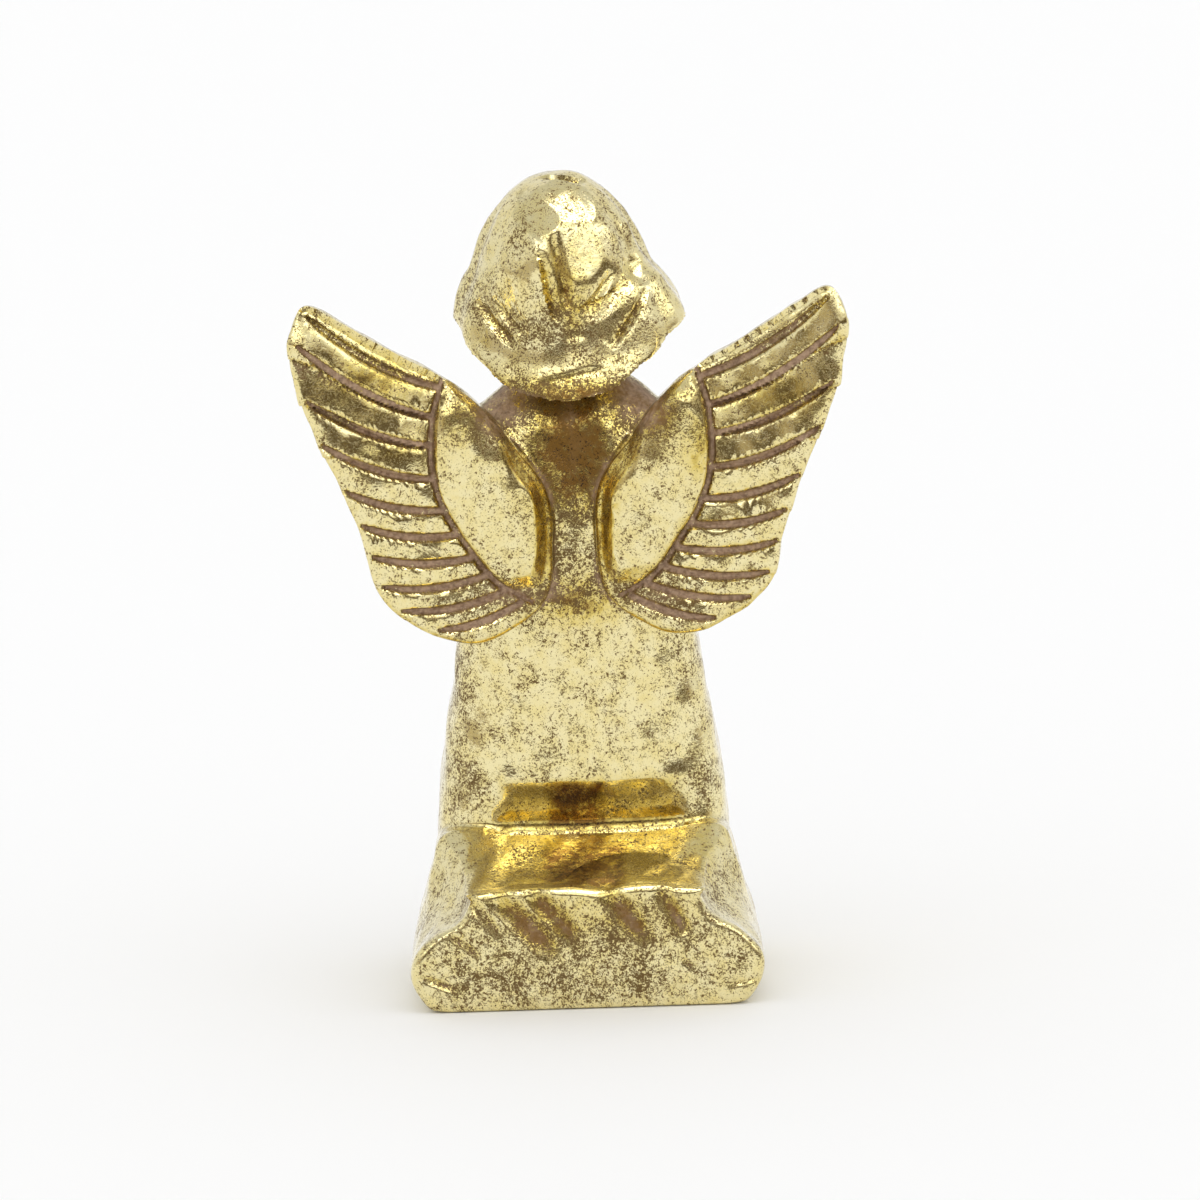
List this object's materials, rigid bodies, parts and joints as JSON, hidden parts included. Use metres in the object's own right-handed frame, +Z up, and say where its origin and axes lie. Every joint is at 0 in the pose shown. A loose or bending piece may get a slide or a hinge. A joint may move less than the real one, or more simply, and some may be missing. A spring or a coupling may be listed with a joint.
{
  "type": "kneeling angel statue",
  "caption": "Gold-leaf statue of a kneeling, praying angel in a long robe, with bobbed hair and carved feathered wings, standing on its own flat underside.",
  "frame": {"origin": "middle of the flat underside, below the middle of the figure's width and depth", "axes": "+Z up, the figure looks along -Y, +X towards its own left wing"},
  "size_m": [0.164, 0.1, 0.2415],
  "materials": {
    "gold_leaf": "bright pale gold leaf, finely rubbed through to a mauve-brown ground in the cuts and hollows"
  },
  "bodies": {
    "root": {"angel": "gold_leaf"}
  },
  "joints": []
}
